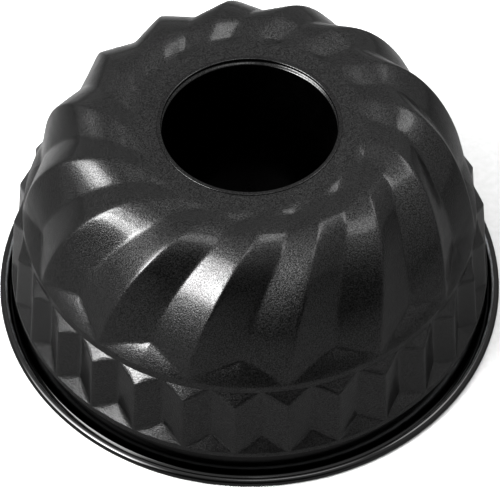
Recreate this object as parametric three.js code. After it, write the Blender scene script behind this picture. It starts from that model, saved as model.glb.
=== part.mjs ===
// Fluted ring cake pan with a centre tube, standing mouth down on its curled rim.
// Millimetres, +Z up, origin at the centre of the plane that the rim stands on.
// Angles are in degrees, counter-clockwise seen from above, and start at the -Y side.
import * as THREE from "three";

// Sheet and wire
const SHEET = 0.6;
const WIRE_R = 1.1;
const SEAM_GAP = 0.3;

// Pattern round the pan
const FLUTES = 15; // and two pleats of the band below to each flute
const COLUMNS = 4 * FLUTES;
const STEP = 360 / COLUMNS;
const RIDGE_AT = 8.8; // angle of one flute's foot on the ring

// Hub: the flat ring round the hole
const HUB_Z = 105.5;
const HOLE_EDGE_R = 38.6;
const HUB_OUT_R = 45.0;

// Crown and shoulder: ridge line of the flutes, a cubic curve from the crown to the ring
const CROWN_R = 62.0;
const CROWN_Z = 108.4;
const SHOULDER_R = 81.0;
const FLANK_R = 95.0;
const FLANK_Z = 83.9;
const RING_R = 100.1;
const RING_Z = 54.2;

// Flutes
const CROWN_DEPTH = 2.2;
const FLUTE_DEPTH = 5.9;
const FOOT_DEPTH = 4.6;
const VALLEY_END = 0.1; // where the valleys end, as a part of the way from the hub to the crown
const VALLEY_RAMP = 0.35;
const DEEPEST_AT = 0.5; // place along the ridge line where the valleys are deepest
const LENS_AT = 0.87; // place along the ridge line where the valley turns out to the ring
const TWIST_LINEAR = 7.6;
const TWIST_SQUARE = 10.3;
const TWIST_CROWN = 12.0; // further turn between the crown and the hub
const TWIST_EASE = 1.3;
const FLAT_DEPTH = 3.0; // from this depth on a flute's slopes are flat instead of round

// Rows of the mesh, as parts of the way: hub to crown, crown to the lens-shaped faces, and down the collar
const DISH_ROWS = [0.1, 0.27, 0.45, 0.72];
const SHOULDER_ROWS = [0, 0.13, 0.26, 0.38, 0.5, 0.62, 0.75, LENS_AT];
const COLLAR_ROWS = [0.35, 0.7, 1];

// Pleated band
const STRIP_R = 100.5;
const STRIP_Z = 51.2;
const PLEAT_TOP_R = 105.0;
const PLEAT_TOP_Z = 46.0;
const PLEAT_FOOT_R = 103.0;
const PLEAT_FOOT_Z = 23.4;
const BASE_R = 108.2;
const BASE_Z = 17.0;

// Collar and curled rim
const COLLAR_R = 108.5;
const COLLAR_Z = 15.0;
const COLLAR_FOOT_R = 109.3;
const COLLAR_FOOT_Z = 2.9;
const FILLET_R = 1.2; // hollow between the collar and the flange of the rim
const FILLET_TURN = 62;
const CURL_R = 2.3; // outside of the curl
const CURL_END = 95; // angle of the sheet's edge on the curl, measured from outward
const CURL_FACET = 30;
const RIM_R = 115.0;

// Centre tube: a tapering tube whose bell-mouthed lip lies on the hub and whose bead locks below it
const LIP_R = 39.4;
const BELL = 0.9;
const BORE_TOP_R = 37.5;
const BORE_FOOT_R = 26.0;
const TUBE_FOOT_Z = 3.0;
const TUBE_MIDDLE_Z = 60.0;
const LOCK_R = 39.4; // outside of the bead
const LOCK_FLAT = 1.1; // height of the bead's straight part
const LOCK_FALL = 1.1; // height of the slope below it
const LOCK_DROP = 0.4; // from the sheet's lower side to the straight part
const HEM_H = 5.0;
const HEM_STEP = 0.6;
const TUBE_SIDES = 48;

const rad = (degrees) => (degrees * Math.PI) / 180;
const mix = (a, b, t) => a + (b - a) * t;
const smooth = (t) => t * t * (3 - 2 * t);
const between = (t, from, to) => Math.min(1, Math.max(0, (t - from) / (to - from)));

// Point at a radius, an angle and a height.
function spot(r, angle, z) {
  return new THREE.Vector3(r * Math.sin(rad(angle)), -r * Math.cos(rad(angle)), z);
}

// Ridge line: place, outward normal, depth and twist of the flutes at t (0 crown, 1 ring).
function ridgeLine(t) {
  const q = 1 - t;
  const r = q ** 3 * CROWN_R + 3 * q * q * t * SHOULDER_R + 3 * q * t * t * FLANK_R + t ** 3 * RING_R;
  const z = (q ** 3 + 3 * q * q * t) * CROWN_Z + 3 * q * t * t * FLANK_Z + t ** 3 * RING_Z;
  const dr =
    q * q * (SHOULDER_R - CROWN_R) + 2 * q * t * (FLANK_R - SHOULDER_R) + t * t * (RING_R - FLANK_R);
  const dz = 2 * q * t * (FLANK_Z - CROWN_Z) + t * t * (RING_Z - FLANK_Z);
  const length = Math.hypot(dr, dz);
  const rise = Math.sin((Math.PI / 2) * between(t, 0, DEEPEST_AT));
  const fall = smooth(between(t, DEEPEST_AT, LENS_AT));
  return {
    r,
    z,
    nr: -dz / length,
    nz: dr / length,
    depth: mix(CROWN_DEPTH, FLUTE_DEPTH, rise) + (FOOT_DEPTH - FLUTE_DEPTH) * fall,
    twist: TWIST_LINEAR * q + TWIST_SQUARE * q * q,
  };
}

// One row of the fluted dome: ridge, slope, valley and slope again, four columns to a flute.
function fluteRow(line) {
  const row = [];
  const valleyR = line.r - line.nr * line.depth;
  const valleyZ = line.z - line.nz * line.depth;
  const flat = Math.min(1, line.depth / FLAT_DEPTH);
  for (let k = 0; k < COLUMNS; k++) {
    const angle = RIDGE_AT + line.twist + k * STEP;
    const place = k % 4;
    if (place === 0) row.push(spot(line.r, angle, line.z));
    else if (place === 2) row.push(spot(valleyR, angle, valleyZ));
    else {
      const bowed = (line.r + valleyR) / 2;
      row.push(spot(mix(bowed, bowed * Math.cos(rad(STEP)), flat), angle, (line.z + valleyZ) / 2));
    }
  }
  return row;
}

// A plain round row.
function roundRow(r, z, twist = 0) {
  return Array.from({ length: COLUMNS }, (_, k) => spot(r, RIDGE_AT + twist + k * STEP, z));
}

// A row of the pleated band: ridges on the even columns and valleys on the odd ones.
function pleatRow(ridgeR, valleyR, z) {
  return Array.from({ length: COLUMNS }, (_, k) =>
    spot(k % 2 === 0 ? ridgeR : valleyR, RIDGE_AT + k * STEP, z),
  );
}

// Row inside the lens-shaped faces at the foot of each valley, halfway from their top to the ring.
function lensRow(top) {
  const ridge = ridgeLine((LENS_AT + 1) / 2);
  const valleyTopR = top.r - top.nr * top.depth;
  const valleyTopZ = top.z - top.nz * top.depth;
  const faceR = (valleyTopR + RING_R) / 2;
  const faceZ = (valleyTopZ + RING_Z) / 2;
  const row = [];
  for (let k = 0; k < COLUMNS; k++) {
    const angle = RIDGE_AT + ridge.twist + k * STEP;
    row.push(k % 4 === 0 ? spot(ridge.r, angle, ridge.z) : spot(faceR, angle, faceZ));
  }
  return row;
}

// Outer rows of the sheet from the hole's edge to the foot of the collar.
function outerRows() {
  const rows = [];
  const crown = ridgeLine(0);
  const hubTwist = crown.twist + TWIST_CROWN;
  rows.push(roundRow(HOLE_EDGE_R, HUB_Z, hubTwist));
  rows.push(roundRow(HUB_OUT_R, HUB_Z, hubTwist));
  for (const x of DISH_ROWS) {
    rows.push(
      fluteRow({
        r: mix(HUB_OUT_R, CROWN_R, x),
        z: mix(HUB_Z, CROWN_Z, smooth(x)),
        nr: 0,
        nz: 1,
        depth: CROWN_DEPTH * smooth(between(x, VALLEY_END, VALLEY_END + VALLEY_RAMP)),
        twist: mix(hubTwist, crown.twist, 1 - (1 - x) ** TWIST_EASE),
      }),
    );
  }
  for (const t of SHOULDER_ROWS) rows.push(fluteRow(ridgeLine(t)));
  rows.push(lensRow(ridgeLine(LENS_AT)));
  const flutedRows = rows.length;
  rows.push(roundRow(RING_R, RING_Z));
  rows.push(roundRow(STRIP_R, STRIP_Z));
  const valleyAt = (z) => mix(STRIP_R, PLEAT_FOOT_R, (STRIP_Z - z) / (STRIP_Z - PLEAT_FOOT_Z));
  const ridgeAt = (z) => mix(PLEAT_TOP_R, BASE_R, (PLEAT_TOP_Z - z) / (PLEAT_TOP_Z - BASE_Z));
  rows.push(pleatRow(PLEAT_TOP_R, valleyAt(PLEAT_TOP_Z), PLEAT_TOP_Z));
  rows.push(pleatRow(ridgeAt(PLEAT_FOOT_Z), PLEAT_FOOT_R, PLEAT_FOOT_Z));
  rows.push(roundRow(BASE_R, BASE_Z));
  rows.push(roundRow(COLLAR_R, COLLAR_Z));
  for (const x of COLLAR_ROWS) {
    const z = mix(COLLAR_Z, COLLAR_FOOT_Z, x);
    rows.push(roundRow(mix(COLLAR_R, COLLAR_FOOT_R, x * x), z));
  }
  return { rows, flutedRows };
}

// Average of the face normals round each corner of the rows.
function rowNormals(rows) {
  const sums = rows.map((row) => row.map(() => new THREE.Vector3()));
  for (let i = 0; i + 1 < rows.length; i++) {
    for (let k = 0; k < COLUMNS; k++) {
      const m = (k + 1) % COLUMNS;
      const down = rows[i + 1][m].clone().sub(rows[i][k]);
      const across = rows[i][m].clone().sub(rows[i + 1][k]);
      const normal = down.cross(across).normalize();
      for (const sum of [sums[i][k], sums[i][m], sums[i + 1][k], sums[i + 1][m]]) sum.add(normal);
    }
  }
  return sums.map((row) => row.map((sum) => sum.normalize()));
}

// Rim: pairs of radius and height on the sheet's outer and inner side, from the hollow at the
// collar's foot, across the sloping flange and round the curl.
function rimSection() {
  const pairs = [];
  const turn = (centreR, centreZ, outerR, innerR, angle) => {
    const c = Math.cos(rad(angle));
    const s = Math.sin(rad(angle));
    pairs.push([
      [centreR + outerR * c, centreZ + outerR * s],
      [centreR + innerR * c, centreZ + innerR * s],
    ]);
  };
  for (const part of [1 / 3, 2 / 3, 1]) {
    turn(COLLAR_FOOT_R + FILLET_R, COLLAR_FOOT_Z, FILLET_R, FILLET_R + SHEET, 180 + part * FILLET_TURN);
  }
  for (let angle = -90 - CURL_FACET / 2; angle < CURL_END; angle += CURL_FACET) {
    turn(RIM_R - CURL_R, curlHeight(), CURL_R - SHEET, CURL_R, angle);
  }
  turn(RIM_R - CURL_R, curlHeight(), CURL_R - SHEET, CURL_R, CURL_END);
  return pairs;
}

// Height of the curl's centre line with its lowest facet at zero.
function curlHeight() {
  return CURL_R * Math.cos(rad(CURL_FACET / 2));
}

// Closed mesh from a ring of rows; lean tells which diagonal each four-sided face is split on.
function closedGrid(rows, lean) {
  const positions = [];
  for (const row of rows) for (const p of row) positions.push(p.x, p.y, p.z);
  const index = [];
  for (let i = 0; i < rows.length; i++) {
    for (let k = 0; k < COLUMNS; k++) {
      const a = i * COLUMNS + k;
      const b = ((i + 1) % rows.length) * COLUMNS + k;
      const c = ((i + 1) % rows.length) * COLUMNS + ((k + 1) % COLUMNS);
      const d = i * COLUMNS + ((k + 1) % COLUMNS);
      if (lean(i, k)) index.push(a, b, c, a, c, d);
      else index.push(a, b, d, b, c, d);
    }
  }
  const geometry = new THREE.BufferGeometry();
  geometry.setAttribute("position", new THREE.Float32BufferAttribute(positions, 3));
  geometry.setIndex(index);
  geometry.computeVertexNormals();
  return geometry;
}

function flutedShell() {
  const { rows, flutedRows } = outerRows();
  const normals = rowNormals(rows);
  const inner = rows.map((row, i) => row.map((p, k) => p.clone().addScaledVector(normals[i][k], -SHEET)));
  const foot = inner.length - 1;
  inner[foot] = roundRow(COLLAR_FOOT_R - SHEET, COLLAR_FOOT_Z);
  for (const [outside, inside] of rimSection()) {
    rows.push(roundRow(...outside));
    inner.push(roundRow(...inside));
  }
  const count = rows.length;
  const lean = (i, k) => {
    const onOuter = i < count;
    const level = onOuter ? i : 2 * count - 2 - i;
    const fluted = level < flutedRows;
    const rises = fluted ? k % 4 >= 2 : k % 2 === 1;
    return onOuter ? rises : !rises;
  };
  return closedGrid([...rows, ...inner.reverse()], lean);
}

function centreTube() {
  const wall = (z) => mix(BORE_TOP_R, BORE_FOOT_R, (HUB_Z - z) / (HUB_Z - TUBE_FOOT_Z));
  const top = HUB_Z + SEAM_GAP;
  const under = HUB_Z - SHEET - SEAM_GAP;
  const lockTop = under - LOCK_DROP;
  const lockFoot = lockTop - LOCK_FLAT;
  const lockEnd = lockFoot - LOCK_FALL;
  const bore = [
    [LIP_R, top + SHEET],
    [BORE_TOP_R + BELL, top + SHEET],
    [BORE_TOP_R + BELL / 3, top + BELL / 3],
    [BORE_TOP_R, HUB_Z - SHEET],
    [BORE_TOP_R, under - SHEET / 4],
    [LOCK_R - SHEET, lockTop - SHEET],
    [LOCK_R - SHEET, lockFoot],
    [wall(lockEnd - SHEET / 2), lockEnd - SHEET / 2],
    [wall(TUBE_MIDDLE_Z), TUBE_MIDDLE_Z],
    [BORE_FOOT_R, TUBE_FOOT_Z],
  ];
  const hemTop = TUBE_FOOT_Z + HEM_H;
  const outside = [
    [BORE_FOOT_R + 2 * SHEET, TUBE_FOOT_Z],
    [wall(hemTop) + 2 * SHEET, hemTop],
    [wall(hemTop + HEM_STEP) + SHEET, hemTop + HEM_STEP],
    [wall(TUBE_MIDDLE_Z) + SHEET, TUBE_MIDDLE_Z],
    [wall(lockEnd) + SHEET, lockEnd],
    [LOCK_R, lockFoot],
    [LOCK_R, lockTop],
    [BORE_TOP_R + SHEET, under],
    [BORE_TOP_R + SHEET, HUB_Z],
    [BORE_TOP_R + SHEET + BELL / 4, top],
    [LIP_R, top],
  ];
  const profile = [...bore, ...outside].map(([r, z]) => new THREE.Vector2(r, z));
  profile.push(profile[0].clone());
  const geometry = new THREE.LatheGeometry(profile, TUBE_SIDES);
  geometry.rotateX(Math.PI / 2);
  return geometry;
}

function rimWire() {
  const geometry = new THREE.TorusGeometry(RIM_R - CURL_R, WIRE_R, 8, COLUMNS);
  geometry.rotateZ(rad(RIDGE_AT - 90));
  geometry.translate(0, 0, curlHeight());
  return geometry;
}

function named(name, geometry, color, roughness, metalness) {
  const material = new THREE.MeshStandardMaterial({ color, roughness, metalness });
  const mesh = new THREE.Mesh(geometry, material);
  mesh.name = name;
  return mesh;
}

const group = new THREE.Group();
group.add(named("fluted_shell", flutedShell(), 0x1e1e1f, 0.38, 0.6));
group.add(named("centre_tube", centreTube(), 0x141414, 0.3, 0.6));
group.add(named("rim_wire", rimWire(), 0x8f9296, 0.45, 1.0));

export default group;
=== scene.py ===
import math

import bpy
import numpy as np
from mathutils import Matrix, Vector

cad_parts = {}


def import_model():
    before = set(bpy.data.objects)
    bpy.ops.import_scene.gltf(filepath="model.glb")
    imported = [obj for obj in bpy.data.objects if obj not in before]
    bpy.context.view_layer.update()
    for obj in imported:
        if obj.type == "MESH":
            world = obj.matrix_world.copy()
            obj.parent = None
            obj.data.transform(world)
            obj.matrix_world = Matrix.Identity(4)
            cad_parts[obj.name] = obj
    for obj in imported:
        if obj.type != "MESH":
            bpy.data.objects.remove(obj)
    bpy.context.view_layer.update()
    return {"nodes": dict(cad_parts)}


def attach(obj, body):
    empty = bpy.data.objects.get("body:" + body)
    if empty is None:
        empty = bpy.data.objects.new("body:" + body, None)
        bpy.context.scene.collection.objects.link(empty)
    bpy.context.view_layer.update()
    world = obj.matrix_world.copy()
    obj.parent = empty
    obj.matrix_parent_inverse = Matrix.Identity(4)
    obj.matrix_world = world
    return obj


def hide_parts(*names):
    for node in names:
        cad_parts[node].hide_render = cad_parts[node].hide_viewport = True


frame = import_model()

MM = 0.001

# ---------------------------------------------------------------- dimensions, in millimetres and degrees
SHEET = 0.6
FLUTES = 15
COLUMNS = 4 * FLUTES
STEP = 360.0 / COLUMNS
RIDGE_AT = 8.8

HUB_Z = 105.5
HOLE_EDGE_R = 38.6
HUB_OUT_R = 45.0
HUB_ROWS = (HOLE_EDGE_R, 39.6, 41.5, 43.2, HUB_OUT_R)

CROWN_R, CROWN_Z = 62.0, 108.4
SHOULDER_R = 81.0
FLANK_R, FLANK_Z = 95.0, 83.9
RING_R, RING_Z = 100.1, 54.2

CROWN_DEPTH, FLUTE_DEPTH, FOOT_DEPTH = 2.2, 5.9, 4.6
VALLEY_END, VALLEY_RAMP = 0.1, 0.35      # parts of the way from the hub to the crown
DEEPEST_AT, LENS_AT = 0.5, 0.87          # places along the ridge line
LENS_BULGE = 0.32                        # how far the lens-shaped faces' sides bow out
FLAT_DEPTH = 3.0                         # from this depth on a flute's slopes are flat instead of round
TWIST_LINEAR, TWIST_SQUARE, TWIST_CROWN, TWIST_EASE = 7.6, 10.3, 12.0, 1.3

STRIP_R, STRIP_Z = 100.5, 51.2
PLEAT_TOP_R, PLEAT_TOP_Z = 105.0, 46.0
PLEAT_FOOT_R, PLEAT_FOOT_Z = 103.0, 23.4
BASE_R, BASE_Z = 108.2, 17.0
NOSE, TROUGH = 0.30, 0.40                # how far the pleats' ridges and valleys run past the plain strips
STRIP_LEAN = 0.03                        # lean of the pleated band's innermost and outermost faces

COLLAR_R, COLLAR_Z = 108.5, 15.0
COLLAR_FOOT_R, COLLAR_FOOT_Z = 109.3, 2.9
FILLET_R, FILLET_TURN = 1.2, 62.0
CURL_R, CURL_END, RIM_R = 2.3, 95.0, 115.0

LIP_R, LIP_TOP = 39.4, HUB_Z + 0.4
LIP_BEND_R, LIP_UNDER_R = 0.6, 0.3
BORE_TOP_R, BORE_FOOT_R = 37.5, 26.0
NECK_TOP, NECK_FOOT, WALL_TOP = HUB_Z - 0.5, HUB_Z - 3.5, HUB_Z - 5.0
NECK_OUT = 0.1                           # how far the neck stands outside the tube's taper
BEAD_Z, BEAD_HALF, BEAD_OUT = HUB_Z - 2.0, 1.3, 1.15
BEAD_BACK = 0.95                         # part of the bead's depth that the tube's outer side keeps
TUBE_FOOT_Z, HEM_H, HEM_EDGE_H = 3.0, 5.0, 0.8

# ---------------------------------------------------------------- rounding and mesh density
# Widths of rounded creases: SOFT values are parts of a face, EDGE values and CREASE_REACH are millimetres.
SOFT_HUB, SOFT_DISH = 0.12, 0.11         # added towards the hub, and on the dish as a whole
SOFT_CROWN, SOFT_FLANK = 0.07, 0.04      # added towards the crown, and on the flank as a whole
SOFT_LENS, SOFT_PLEAT = 0.045, 0.05
VALLEY_SHARE = 0.6                       # a valley's rounding as a part of its ridge's
LENS_EDGE, STRIP_EDGE, TRIANGLE_EDGE = 0.30, 0.15, 0.22
CREASE_REACH = 0.35
SHARP_ANGLE = 48.0

DISH_STEPS, SHOULDER_STEPS, PLEAT_STEPS, COLLAR_STEPS = 20, 48, 8, 8
FILLET_STEPS, CURL_STEPS = 12, 40
TUBE_SEGMENTS = 160

FLUTE_SPAN, PLEAT_SPAN = 4, 2            # columns in one flute and in one pleat
FLUTE_HALF_FACE, PLEAT_HALF_FACE = STEP, STEP / 2

# Places inside one column, close together near the creases.
FINE = np.array([0.0, 0.05, 0.13, 0.27, 0.5, 0.73, 0.87, 0.95])
COLS = (np.arange(COLUMNS)[:, None] + FINE[None, :]).ravel()
COLS_N = len(COLS)
# 0 on a flute's or pleat's ridge, 1 in its valley.
FLUTE_U, PLEAT_U = (1.0 - np.abs((COLS % span) / (span / 2) - 1.0) for span in (FLUTE_SPAN, PLEAT_SPAN))


def mix(a, b, t):
    return a + (b - a) * t


def smooth(t):
    return t * t * (3 - 2 * t)


def clamp(t):
    return min(1, max(0, t))


def soft_min(a, b, k):
    """The lower of a and b, with the crease between them rounded over k."""
    h = np.clip(k - np.abs(a - b), 0, None) / k
    return np.minimum(a, b) - h * h * k / 4


def soft_max(a, b, k):
    return -soft_min(-a, -b, k)


def rounded(u, ridge, valley):
    """Zigzag u with its ridge and valley rounded over those widths."""
    return u + (np.sqrt(u * u + ridge**2) - u) - (np.sqrt((1 - u) ** 2 + valley**2) - (1 - u))


def spot(r, angle, z):
    """Points at these radii, angles and heights."""
    a = np.radians(angle)
    r, z = np.broadcast_to(r, a.shape), np.broadcast_to(z, a.shape)
    return np.stack([r * np.sin(a), -r * np.cos(a), z], -1)


def chord(u, half_turn, amount):
    """Pulls a curved face in so that it is flat between a ridge and a valley."""
    flat = math.cos(math.radians(half_turn)) / np.cos(np.radians(half_turn * (1 - 2 * u)))
    return 1 + (flat - 1) * amount


# ---------------------------------------------------------------- the drawn sheet
def ridge_line(t):
    """Radius, height, outward normal, valley depth and twist at t, from the crown (0) to the ring (1)."""
    q = 1 - t
    r = q**3 * CROWN_R + 3 * q * q * t * SHOULDER_R + 3 * q * t * t * FLANK_R + t**3 * RING_R
    z = (q**3 + 3 * q * q * t) * CROWN_Z + 3 * q * t * t * FLANK_Z + t**3 * RING_Z
    dr = q * q * (SHOULDER_R - CROWN_R) + 2 * q * t * (FLANK_R - SHOULDER_R) + t * t * (RING_R - FLANK_R)
    dz = 2 * q * t * (FLANK_Z - CROWN_Z) + t * t * (RING_Z - FLANK_Z)
    size = math.hypot(dr, dz)
    rise = CROWN_DEPTH + (FLUTE_DEPTH - CROWN_DEPTH) * math.sin(math.pi / 2 * min(1, t / DEEPEST_AT))
    fall = (FLUTE_DEPTH - FOOT_DEPTH) * smooth(clamp((t - DEEPEST_AT) / (LENS_AT - DEEPEST_AT)))
    twist = TWIST_LINEAR * q + TWIST_SQUARE * q * q
    return r, z, -dz / size, dr / size, rise - fall, twist


def flute_row(r, z, nr, nz, depth, twist, softness, lens=None):
    """Ring of points on the flutes; lens is the part of the depth at which the lens-shaped faces cut in."""
    w = rounded(FLUTE_U, softness, VALLEY_SHARE * softness)
    flat = min(1.0, depth / FLAT_DEPTH)
    if lens is not None:
        w = soft_min(w * depth, np.full_like(w, lens * depth), LENS_EDGE) / depth
        flat *= lens
    w = np.clip(w, 0, 1)
    rr = (r - nr * depth * w) * chord(FLUTE_U, FLUTE_HALF_FACE, flat)
    return spot(rr, RIDGE_AT + twist + COLS * STEP, z - nz * depth * w)


def round_row(r, z, twist=0.0):
    return spot(r, RIDGE_AT + twist + COLS * STEP, z)


def pleat_row(z):
    """Ring of points on the pleated band: the pleats' faces, cut by the triangles and the plain strips."""
    ridge = mix(PLEAT_TOP_R, BASE_R + NOSE, (PLEAT_TOP_Z - z) / (PLEAT_TOP_Z - BASE_Z))
    valley = mix(STRIP_R - TROUGH, PLEAT_FOOT_R, (STRIP_Z - z) / (STRIP_Z - PLEAT_FOOT_Z))
    face = mix(ridge, valley, rounded(PLEAT_U, SOFT_PLEAT, SOFT_PLEAT)) * chord(PLEAT_U, PLEAT_HALF_FACE, 1.0)
    top = STRIP_R + (STRIP_Z - z) * (PLEAT_TOP_R - STRIP_R) / (STRIP_Z - PLEAT_TOP_Z)
    foot = PLEAT_FOOT_R + (PLEAT_FOOT_Z - z) * (BASE_R - PLEAT_FOOT_R) / (PLEAT_FOOT_Z - BASE_Z)
    inner = STRIP_R + STRIP_LEAN * (STRIP_Z - z)
    outer = BASE_R - STRIP_LEAN * (z - BASE_Z)
    r = soft_max(face, np.full_like(face, inner), STRIP_EDGE)
    r = soft_min(r, np.full_like(face, top), TRIANGLE_EDGE)
    r = soft_max(r, np.full_like(face, foot), TRIANGLE_EDGE)
    r = soft_min(r, np.full_like(face, outer), STRIP_EDGE)
    return spot(r, RIDGE_AT + COLS * STEP, z)


def soften(rows, at, reach):
    """Rounds the crease that lies along one row."""
    here = rows[at]

    def toward(other):
        gap = np.linalg.norm(other - here, axis=1)[:, None]
        return here + (other - here) * np.minimum(reach / np.maximum(gap, 1e-6), 0.45)

    before, after = toward(rows[at - 1]), toward(rows[at + 1])
    rows[at:at + 1] = [before, (before + after + 2 * here) / 4, after]


def lens_place(u):
    """Place along a lens-shaped face, from its tip (0) to the ring (1), where its edge has reached u."""
    root = math.sqrt((1 + LENS_BULGE) ** 2 - 4 * LENS_BULGE * (1 - u))
    return (1 + LENS_BULGE - root) / (2 * LENS_BULGE)


def outer_rows():
    """Rings of points from the hole's edge to the collar's foot, and the columns in each ring's pattern."""
    rows, spans = [], []

    def add(row, span):
        rows.append(row)
        spans.append(span)

    def add_between(r0, z0, r1, z1, span):
        add(round_row(mix(r0, r1, 0.5), mix(z0, z1, 0.5)), span)

    crown_twist = ridge_line(0.0)[-1]
    hub_twist = crown_twist + TWIST_CROWN
    for r in HUB_ROWS:
        add(round_row(r, HUB_Z, hub_twist), FLUTE_SPAN)
    for x in np.linspace(0, 1, DISH_STEPS + 1)[1:-1]:
        r, z = mix(HUB_OUT_R, CROWN_R, x), mix(HUB_Z, CROWN_Z, smooth(x))
        twist = mix(hub_twist, crown_twist, 1 - (1 - x) ** TWIST_EASE)
        depth = CROWN_DEPTH * smooth(clamp((x - VALLEY_END) / VALLEY_RAMP))
        add(flute_row(r, z, 0.0, 1.0, depth, twist, SOFT_DISH + SOFT_HUB * (1 - x)), FLUTE_SPAN)
    for t in np.linspace(0, LENS_AT, SHOULDER_STEPS + 1)[:-1]:
        add(flute_row(*ridge_line(t), SOFT_CROWN * (1 - t) ** 2 + SOFT_FLANK), FLUTE_SPAN)
    places = np.unique(np.round(FLUTE_U[: 2 * len(FINE) + 1], 6))[::-1]
    for u in places[:-1]:
        t = mix(LENS_AT, 1.0, lens_place(u))
        add(flute_row(*ridge_line(t), SOFT_LENS, lens=u), FLUTE_SPAN)
    ring_at = len(rows)
    add(round_row(RING_R, RING_Z), FLUTE_SPAN)
    add_between(RING_R, RING_Z, STRIP_R, STRIP_Z, PLEAT_SPAN)
    strip_at = len(rows)
    add(pleat_row(STRIP_Z), PLEAT_SPAN)
    steps = np.append(FINE, 1.0)
    for g in steps[1:]:
        add(pleat_row(mix(STRIP_Z, PLEAT_TOP_Z, g)), PLEAT_SPAN)
    for g in np.linspace(0, 1, PLEAT_STEPS + 1)[1:]:
        add(pleat_row(mix(PLEAT_TOP_Z, PLEAT_FOOT_Z, g)), PLEAT_SPAN)
    for g in steps[1:-1]:
        add(pleat_row(mix(PLEAT_FOOT_Z, BASE_Z, g)), PLEAT_SPAN)
    base_at = len(rows)
    add(round_row(BASE_R, BASE_Z), PLEAT_SPAN)
    add_between(BASE_R, BASE_Z, COLLAR_R, COLLAR_Z, PLEAT_SPAN)
    collar_at = len(rows)
    add(round_row(COLLAR_R, COLLAR_Z), PLEAT_SPAN)
    for x in np.linspace(0, 1, COLLAR_STEPS + 1)[1:]:
        add(round_row(mix(COLLAR_R, COLLAR_FOOT_R, x * x), mix(COLLAR_Z, COLLAR_FOOT_Z, x)), PLEAT_SPAN)
    for at in (collar_at, base_at, strip_at, ring_at):
        soften(rows, at, CREASE_REACH)
        spans[at:at + 1] = [spans[at - 1], spans[at], spans[at]]
    return rows, spans


def rim_pairs():
    """Radius and height on the sheet's upper and lower side, from the collar's foot round the curl."""
    fillet = (COLLAR_FOOT_R + FILLET_R, COLLAR_FOOT_Z, FILLET_R, FILLET_R + SHEET)
    curl = (RIM_R - CURL_R, CURL_R, CURL_R - SHEET, CURL_R)
    turns = [(fillet, 180 + angle) for angle in np.linspace(0, FILLET_TURN, FILLET_STEPS + 1)[1:]]
    turns += [(curl, angle) for angle in np.linspace(FILLET_TURN - 180, CURL_END, CURL_STEPS + 1)]
    pairs = []
    for (r, z, above, below), angle in turns:
        c, s = math.cos(math.radians(angle)), math.sin(math.radians(angle))
        pairs.append(((r + above * c, z + above * s), (r + below * c, z + below * s)))
    return pairs


def grid_normals(p):
    """Average of the face normals round each point of rows that close on themselves sideways."""
    sums = np.zeros_like(p)
    nxt = np.roll(p, -1, axis=1)
    n = np.cross(nxt[1:] - p[:-1], nxt[:-1] - p[1:])
    n /= np.linalg.norm(n, axis=2)[..., None] + 1e-12
    for rows in (slice(0, -1), slice(1, None)):
        sums[rows] += n
        sums[rows] += np.roll(n, 1, axis=1)
    return sums / np.linalg.norm(sums, axis=2)[..., None]


def mesh_object(name, points, faces):
    """Smooth-shaded object from points in millimetres and faces that all have the same number of sides."""
    mesh = bpy.data.meshes.new(name)
    mesh.vertices.add(len(points))
    mesh.vertices.foreach_set("co", (points * MM).astype(np.float32).ravel())
    sides = faces.shape[1]
    mesh.loops.add(faces.size)
    mesh.loops.foreach_set("vertex_index", faces.astype(np.int32).ravel())
    mesh.polygons.add(len(faces))
    mesh.polygons.foreach_set("loop_start", np.arange(0, faces.size, sides, dtype=np.int32))
    mesh.polygons.foreach_set("use_smooth", np.ones(len(faces), dtype=bool))
    mesh.update(calc_edges=True)
    mesh.validate()
    mesh.set_sharp_from_angle(angle=math.radians(SHARP_ANGLE))
    obj = bpy.data.objects.new(name, mesh)
    bpy.context.scene.collection.objects.link(obj)
    return obj


def shell_skin():
    """Closed skin of the sheet: down its upper side from the hole to the curl's edge, and back below."""
    rows, spans = outer_rows()
    outer = np.array(rows)
    inner = outer - SHEET * grid_normals(outer)
    inner[-1] = round_row(COLLAR_FOOT_R - SHEET, COLLAR_FOOT_Z)
    upper, lower = list(outer), list(inner)
    for above, below in rim_pairs():
        upper.append(round_row(*above))
        lower.append(round_row(*below))
        spans.append(PLEAT_SPAN)
    count = len(upper)
    p = np.array(upper + lower[::-1])
    total = len(p)
    i, k = np.meshgrid(np.arange(total), np.arange(COLS_N), indexing="ij")
    next_i, next_k = (i + 1) % total, (k + 1) % COLS_N
    a, b = i * COLS_N + k, next_i * COLS_N + k
    c, d = next_i * COLS_N + next_k, i * COLS_N + next_k
    on_outer = i < count
    level = np.where(on_outer, i, 2 * count - 2 - i).clip(0, count - 1)
    span = np.array(spans)[level]
    rises = (COLS[k] % span) >= span / 2
    lean = np.where(on_outer, rises, ~rises)[..., None]
    first = np.where(lean, np.stack([a, b, c], -1), np.stack([a, b, d], -1))
    second = np.where(lean, np.stack([a, c, d], -1), np.stack([b, c, d], -1))
    faces = np.concatenate([first.reshape(-1, 3), second.reshape(-1, 3)])
    return mesh_object("shell_skin", p.reshape(-1, 3), faces)


# ---------------------------------------------------------------- the centre tube
def arc(r, z, radius, start, end, count):
    return [
        (r + radius * math.cos(math.radians(a)), z + radius * math.sin(math.radians(a)))
        for a in np.linspace(start, end, count)
    ]


def tube_wall(z):
    return mix(BORE_TOP_R, BORE_FOOT_R, (HUB_Z - z) / (HUB_Z - TUBE_FOOT_Z))


def neck(z):
    return min(BORE_TOP_R, tube_wall(z) + NECK_OUT)


def bead(z):
    """How far the locking bead under the hub stands out at this height."""
    return BEAD_OUT * (0.5 + 0.5 * math.cos(math.pi * min(1, abs(z - BEAD_Z) / BEAD_HALF)))


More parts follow.
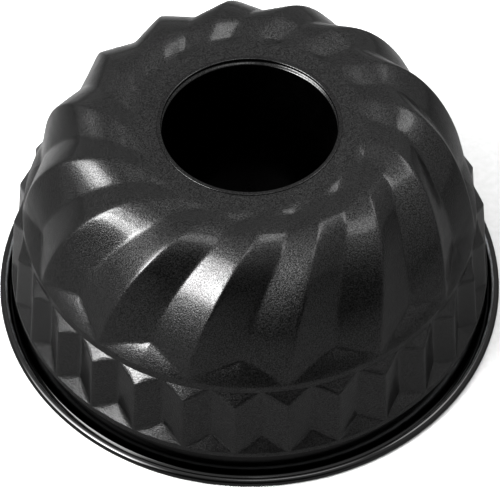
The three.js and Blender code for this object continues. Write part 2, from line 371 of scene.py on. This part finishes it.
def tube_profile():
    """Closed section of the tube: over the lip, down the bore, round the hem and up the outside."""
    half = SHEET / 2
    hem_top = TUBE_FOOT_Z + HEM_H
    hem_edge = hem_top - HEM_EDGE_H
    profile = arc(LIP_R - half, LIP_TOP - half, half, -90, 90, 7)
    profile += arc(BORE_TOP_R + LIP_BEND_R, LIP_TOP - LIP_BEND_R, LIP_BEND_R, 90, 180, 9)
    profile += [(neck(z) + bead(z), z) for z in np.linspace(NECK_TOP, NECK_FOOT, 16)]
    profile += [(tube_wall(z), z) for z in np.linspace(WALL_TOP, TUBE_FOOT_Z + 1.5, 24)]
    profile += arc(BORE_FOOT_R + SHEET, TUBE_FOOT_Z + SHEET, SHEET, 180, 360, 11)
    profile.append((tube_wall(hem_edge) + 2 * SHEET, hem_edge))
    profile += arc(tube_wall(hem_top) + SHEET, hem_top - 0.35, SHEET, 15, 80, 5)
    profile += [(tube_wall(z) + SHEET, z) for z in np.linspace(hem_top + 1.2, WALL_TOP, 24)]
    for z in np.linspace(NECK_FOOT, HUB_Z - 0.8, 14):
        profile.append((neck(z) + SHEET + bead(z) * BEAD_BACK, z))
    profile += arc(BORE_TOP_R + SHEET + LIP_UNDER_R, LIP_TOP - SHEET - LIP_UNDER_R, LIP_UNDER_R, 180, 90, 4)
    return profile


def tube_skin():
    profile = np.array(tube_profile())
    angles = np.arange(TUBE_SEGMENTS) * 360.0 / TUBE_SEGMENTS
    p = np.stack([spot(r, angles, z) for r, z in profile])
    i, k = np.meshgrid(np.arange(len(p)), np.arange(TUBE_SEGMENTS), indexing="ij")
    here, below = i * TUBE_SEGMENTS, (i + 1) % len(p) * TUBE_SEGMENTS
    next_k = (k + 1) % TUBE_SEGMENTS
    faces = np.stack([here + k, here + next_k, below + next_k, below + k], -1)
    return mesh_object("tube_skin", p.reshape(-1, 3), faces.reshape(-1, 4))


# ---------------------------------------------------------------- materials
NOISE_RANGE = (0.3, 0.7)                 # where most of a noise texture's values lie
FLAKE_TONES, CLOUD_TONES = (0.25, 1.75), (0.95, 1.05)
SCUFF_RANGE = 0.03
# Fades of the collar mask: below the collar's top the grain stops and the collar wall is painted black as
# painted shade.
COLLAR_FADE_DOWN, COLLAR_FADE_UP, RIM_FADE = 0.8, 0.2, 0.4
RIM_TONE = 0.9                           # the rim's tone as a part of the coating's
EDGE_TINT = (0.54, 0.54, 0.54)           # tint of the flakes' reflection at grazing angles
GLAZE_ROUGHNESS, GLAZE_IOR = 0.13, 1.5


def new_material(name):
    material = bpy.data.materials.new(name)
    material.use_nodes = True
    tree = material.node_tree
    shader = next(n for n in tree.nodes if n.type == "BSDF_PRINCIPLED")
    return material, tree, shader


def noise(tree, coords, scale, detail, rough):
    node = tree.nodes.new("ShaderNodeTexNoise")
    node.inputs["Scale"].default_value = scale
    node.inputs["Detail"].default_value = detail
    node.inputs["Roughness"].default_value = rough
    tree.links.new(coords, node.inputs["Vector"])
    return node.outputs["Fac"]


def map_range(tree, value, low, high, to_low, to_high):
    node = tree.nodes.new("ShaderNodeMapRange")
    tree.links.new(value, node.inputs["Value"])
    for key, number in zip(("From Min", "From Max", "To Min", "To Max"), (low, high, to_low, to_high)):
        node.inputs[key].default_value = number
    return node.outputs["Result"]


def ramp(tree, value, low, high):
    """Colour that runs from low to high over the noise's range."""
    node = tree.nodes.new("ShaderNodeValToRGB")
    tree.links.new(value, node.inputs["Fac"])
    for element, at, color in zip(node.color_ramp.elements, NOISE_RANGE, (low, high)):
        element.position = at
        element.color = (*color, 1)
    return node.outputs["Color"]


def math_node(tree, operation, a, b):
    node = tree.nodes.new("ShaderNodeMath")
    node.operation = operation
    for socket, value in zip(node.inputs, (a, b)):
        if isinstance(value, (int, float)):
            socket.default_value = value
        else:
            tree.links.new(value, socket)
    return node.outputs[0]


def blend(tree, factor, low, high):
    """low where the factor is 0, high where it is 1; either may be a number or a socket."""
    up = math_node(tree, "MULTIPLY", factor, high)
    rest = math_node(tree, "SUBTRACT", 1.0, factor)
    return math_node(tree, "ADD", up, math_node(tree, "MULTIPLY", rest, low))


def bump_from(tree, shader, height, distance):
    node = tree.nodes.new("ShaderNodeBump")
    node.inputs["Distance"].default_value = distance * MM
    tree.links.new(height, node.inputs["Height"])
    tree.links.new(node.outputs["Normal"], shader.inputs["Normal"])


def coating(name, tone, rough, grain_height, glaze, collar=None):
    """Dark metallic non-stick coating: a fine flake grain under a thin glaze, faint clouds and scuffs.

    collar gives the height below which the grain stops, the radius from which the rim starts, the tone of
    the black collar stretch between the two, which is painted shade standing for the dark bead and shadowed
    floor that the collar reflects, and the roughness of both.
    """
    material, tree, shader = new_material(name)
    coords = tree.nodes.new("ShaderNodeTexCoord").outputs["Object"]
    flakes = noise(tree, coords, scale=1900, detail=1.0, rough=0.5)
    cloud = noise(tree, coords, scale=45, detail=3.0, rough=0.55)
    scuffs = noise(tree, coords, scale=160, detail=4.0, rough=0.6)
    sparkle = map_range(tree, flakes, *NOISE_RANGE, *FLAKE_TONES)
    shade = map_range(tree, cloud, *NOISE_RANGE, *(part * tone for part in CLOUD_TONES))
    tint = math_node(tree, "MULTIPLY", sparkle, shade)
    roughness = map_range(tree, scuffs, *NOISE_RANGE, rough - SCUFF_RANGE, rough + SCUFF_RANGE)
    grain = map_range(tree, flakes, 0.25, 0.75, 0.0, 1.0)
    if collar:
        top, rim_r, painted_shade_tone, plain_rough = collar
        place = tree.nodes.new("ShaderNodeSeparateXYZ")
        tree.links.new(coords, place.inputs[0])
        x, y, z = place.outputs
        above = map_range(tree, z, (top - COLLAR_FADE_DOWN) * MM, (top + COLLAR_FADE_UP) * MM, 0.0, 1.0)
        x_squared, y_squared = math_node(tree, "MULTIPLY", x, x), math_node(tree, "MULTIPLY", y, y)
        radius = math_node(tree, "SQRT", math_node(tree, "ADD", x_squared, y_squared), 0.0)
        rim = map_range(tree, radius, rim_r * MM, (rim_r + RIM_FADE) * MM, 0.0, 1.0)
        outside_painted_shade = math_node(tree, "MAXIMUM", above, rim)
        roughness = blend(tree, above, plain_rough, roughness)
        grain = math_node(tree, "MULTIPLY", grain, above)
        # Below the collar's top and inside the rim the base colour is black: painted shade for the dark bead
        # and shadowed floor that the collar reflects.
        tint = blend(tree, outside_painted_shade, painted_shade_tone, blend(tree, above, RIM_TONE * tone, tint))
    tree.links.new(tint, shader.inputs["Base Color"])
    tree.links.new(roughness, shader.inputs["Roughness"])
    bump_from(tree, shader, grain, grain_height)
    shader.inputs["Metallic"].default_value = 1.0
    shader.inputs["Specular Tint"].default_value = (*EDGE_TINT, 1)
    shader.inputs["Coat Weight"].default_value = glaze
    shader.inputs["Coat Roughness"].default_value = GLAZE_ROUGHNESS
    shader.inputs["Coat IOR"].default_value = GLAZE_IOR
    return material


def wire_steel():
    material, tree, shader = new_material("drawn_wire")
    coords = tree.nodes.new("ShaderNodeTexCoord").outputs["Object"]
    streaks = noise(tree, coords, scale=900, detail=4.0, rough=0.6)
    color = ramp(tree, streaks, low=(0.36, 0.37, 0.38), high=(0.52, 0.53, 0.54))
    tree.links.new(color, shader.inputs["Base Color"])
    roughness = map_range(tree, streaks, *NOISE_RANGE, to_low=0.3, to_high=0.45)
    tree.links.new(roughness, shader.inputs["Roughness"])
    bump_from(tree, shader, streaks, distance=0.01)
    shader.inputs["Metallic"].default_value = 1.0
    return material


def floor_paper():
    material, tree, shader = new_material("floor_paper")
    coords = tree.nodes.new("ShaderNodeTexCoord").outputs["Object"]
    fibres = noise(tree, coords, scale=300, detail=3.0, rough=0.5)
    color = ramp(tree, fibres, low=(0.24, 0.24, 0.24), high=(0.26, 0.26, 0.26))
    tree.links.new(color, shader.inputs["Base Color"])
    shader.inputs["Roughness"].default_value = 0.9
    shader.inputs["Specular IOR Level"].default_value = 0.1
    return material


# ---------------------------------------------------------------- the pieces
def put(obj, node, material):
    """Gives a skin its material and lets it stand for a CAD node."""
    obj.data.materials.clear()
    obj.data.materials.append(material)
    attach(obj, "root")
    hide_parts(node)


# The collar tone 0.0 paints the collar wall black as painted shade for the dark bead and shadowed floor it
# reflects.
shell_look = coating("shell_coating", tone=0.0115, rough=0.37, grain_height=0.06, glaze=0.135,
                     collar=(COLLAR_Z, COLLAR_FOOT_R + 0.1, 0.0, 0.12))
put(shell_skin(), "fluted_shell", shell_look)
tube_look = coating("tube_coating", tone=0.010, rough=0.25, grain_height=0.008, glaze=0.12)
put(tube_skin(), "centre_tube", tube_look)
steel = wire_steel()
for entry in frame["nodes"]["rim_wire"].material_slots:
    entry.material = steel


# ---------------------------------------------------------------- studio
def floor():
    bpy.ops.mesh.primitive_plane_add(size=8.0, location=(0, 0, 0))
    plane = bpy.context.object
    plane.name = "studio_floor"
    plane.data.materials.append(floor_paper())


LAMP_DISTANCE, LAMP_TARGET_Z = 1.2, 0.06
# name, azimuth, elevation, width, height, watts, spread
SOFTBOXES = (
    ("left_box", -68, 33, 1.6, 0.9, 18, 61),
    ("front_left_box", -52, 24, 0.45, 0.35, 1.3, 50),
    ("high_box", 30, 71, 0.6, 0.4, 0.6, 60),
    ("right_box", 115, 60, 0.7, 0.35, 0.9, 60),
)


def softbox(name, azimuth, elevation, width, height, watts, spread):
    """Area light aimed at the pan; azimuth 0 is the camera's side and positive is to the right."""
    data = bpy.data.lights.new(name, "AREA")
    data.shape = "RECTANGLE"
    data.size, data.size_y = width, height
    data.energy = watts
    data.spread = math.radians(spread)
    lamp = bpy.data.objects.new(name, data)
    bpy.context.scene.collection.objects.link(lamp)
    a, e = math.radians(azimuth), math.radians(elevation)
    way = Vector((math.sin(a) * math.cos(e), -math.cos(a) * math.cos(e), math.sin(e)))
    lamp.location = Vector((0, 0, LAMP_TARGET_Z)) + way * LAMP_DISTANCE
    lamp.rotation_mode = "QUATERNION"
    lamp.rotation_quaternion = (-way).to_track_quat("-Z", "Y")


SIDE_Z, SIDE_X, SIDE_DIM_BELOW = 0.6, 0.35, -0.6
GLOW_LEFT, GLOW_UP, GLOW_FROM = 0.6, 0.8, 0.75


def world(front, level, top, glow):
    """Dim on the camera's side (front), brighter behind the pan and to its right.

    It goes from level at the horizon to top overhead, and glow is added above left.
    """
    scene_world = bpy.data.worlds.new("studio_world")
    bpy.context.scene.world = scene_world
    scene_world.use_nodes = True
    tree = scene_world.node_tree
    way = tree.nodes.new("ShaderNodeSeparateXYZ")
    tree.links.new(tree.nodes.new("ShaderNodeTexCoord").outputs["Generated"], way.inputs[0])
    x, y, z = way.outputs
    side = math_node(tree, "ADD", y, math_node(tree, "MULTIPLY", z, SIDE_Z))
    side = math_node(tree, "ADD", side, math_node(tree, "MULTIPLY", x, SIDE_X))
    around = map_range(tree, side, SIDE_DIM_BELOW, 0.0, front, 1.0)
    upward = map_range(tree, z, 0.0, 1.0, level, top)
    light = math_node(tree, "MULTIPLY", around, upward)
    left = math_node(tree, "MULTIPLY", x, GLOW_LEFT)
    left = math_node(tree, "SUBTRACT", math_node(tree, "MULTIPLY", z, GLOW_UP), left)
    light = math_node(tree, "ADD", light, map_range(tree, left, GLOW_FROM, 1.0, 0.0, glow))
    tree.links.new(light, tree.nodes["Background"].inputs["Color"])


SENSOR_WIDTH, FOCAL_LENGTH = 36.0, 147.9
CAMERA_ELEVATION, CAMERA_DISTANCE = 51.58, 0.9327
CAMERA_TARGET = (0.0002, 0, 0.0241)


def camera():
    data = bpy.data.cameras.new("camera")
    data.sensor_width = SENSOR_WIDTH
    data.lens = FOCAL_LENGTH
    cam = bpy.data.objects.new("camera", data)
    bpy.context.scene.collection.objects.link(cam)
    e = math.radians(CAMERA_ELEVATION)
    way = Vector((0, -math.cos(e), math.sin(e)))
    cam.location = Vector(CAMERA_TARGET) + way * CAMERA_DISTANCE
    cam.rotation_mode = "QUATERNION"
    cam.rotation_quaternion = (-way).to_track_quat("-Z", "Y")
    bpy.context.scene.camera = cam


floor()
for box in SOFTBOXES:
    softbox(*box)
world(front=0.08, level=1.35, top=1.85, glow=0.9)
camera()
view = bpy.context.scene.view_settings
view.view_transform = "Standard"
view.exposure, view.gamma = 0.9, 0.8
